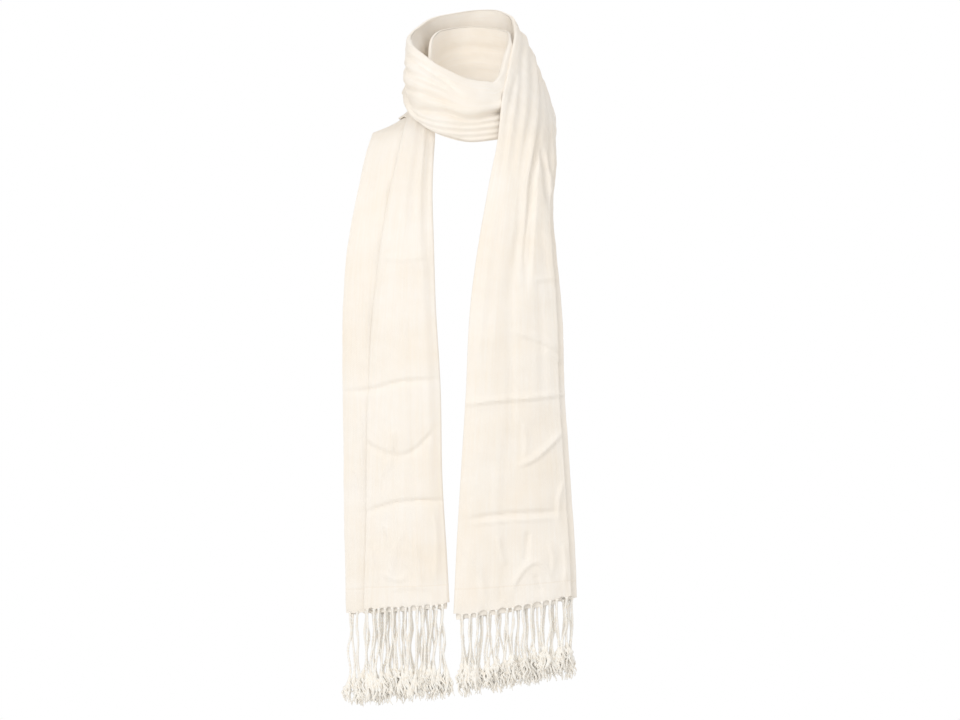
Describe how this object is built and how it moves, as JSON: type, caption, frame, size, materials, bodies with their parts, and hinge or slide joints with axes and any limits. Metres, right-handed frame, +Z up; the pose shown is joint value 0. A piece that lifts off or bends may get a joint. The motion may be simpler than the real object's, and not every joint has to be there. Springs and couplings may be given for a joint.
{
  "type": "shawl",
  "caption": "Fringed woven shawl pleated lengthwise and wound once round the neck, with both ends hanging down in front.",
  "frame": {"origin": "centre of the neck opening, level with the base of the neck, where the wearer holds the shawl up", "axes": "+X to the viewer's right, +Y away from the viewer to the back of the neck, +Z up along the neck"},
  "size_m": [0.2785, 0.2341, 0.8475],
  "materials": {
    "shawl_wool": "soft twill weave with a faint sheen",
    "fringe_wool": "twisted yarn, fluffy at the tips"
  },
  "bodies": {
    "root": {"left_end": "shawl_wool", "back_wrap_inner": "shawl_wool", "front_wrap": "shawl_wool", "back_wrap_outer": "shawl_wool", "right_end": "shawl_wool", "left_fringe": "fringe_wool", "right_fringe": "fringe_wool"}
  },
  "joints": []
}
